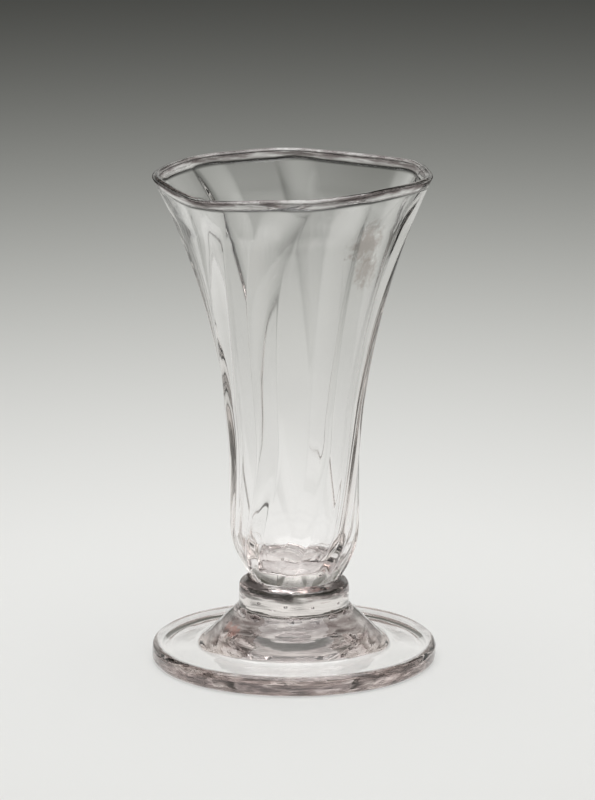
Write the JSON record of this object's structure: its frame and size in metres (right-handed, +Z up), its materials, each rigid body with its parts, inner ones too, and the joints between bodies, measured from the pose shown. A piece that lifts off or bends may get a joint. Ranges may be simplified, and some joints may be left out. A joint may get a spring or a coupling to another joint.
{
  "type": "jelly glass",
  "caption": "Small ribbed trumpet-shaped jelly glass on a short knop and a spread foot, mouth-blown in clear glass with a faint pink tint.",
  "frame": {"origin": "on the table under the middle of the foot", "axes": "+Z up the axis of the glass, -Y towards the front of the picture, +X to its right"},
  "size_m": [0.0634, 0.0634, 0.11],
  "materials": {
    "bowl_glass": "fire-polished clear glass, faint manganese pink where thick",
    "knop_glass": "fire-polished clear glass with small trapped bubbles",
    "foot_glass": "fire-polished clear glass, pinkish at the thick edge",
    "broken_glass": "rough broken glass, worn smooth at the edges"
  },
  "bodies": {
    "root": {"bowl": "bowl_glass", "knop": "knop_glass", "foot": "foot_glass", "pontil_mark": "broken_glass"}
  },
  "joints": []
}
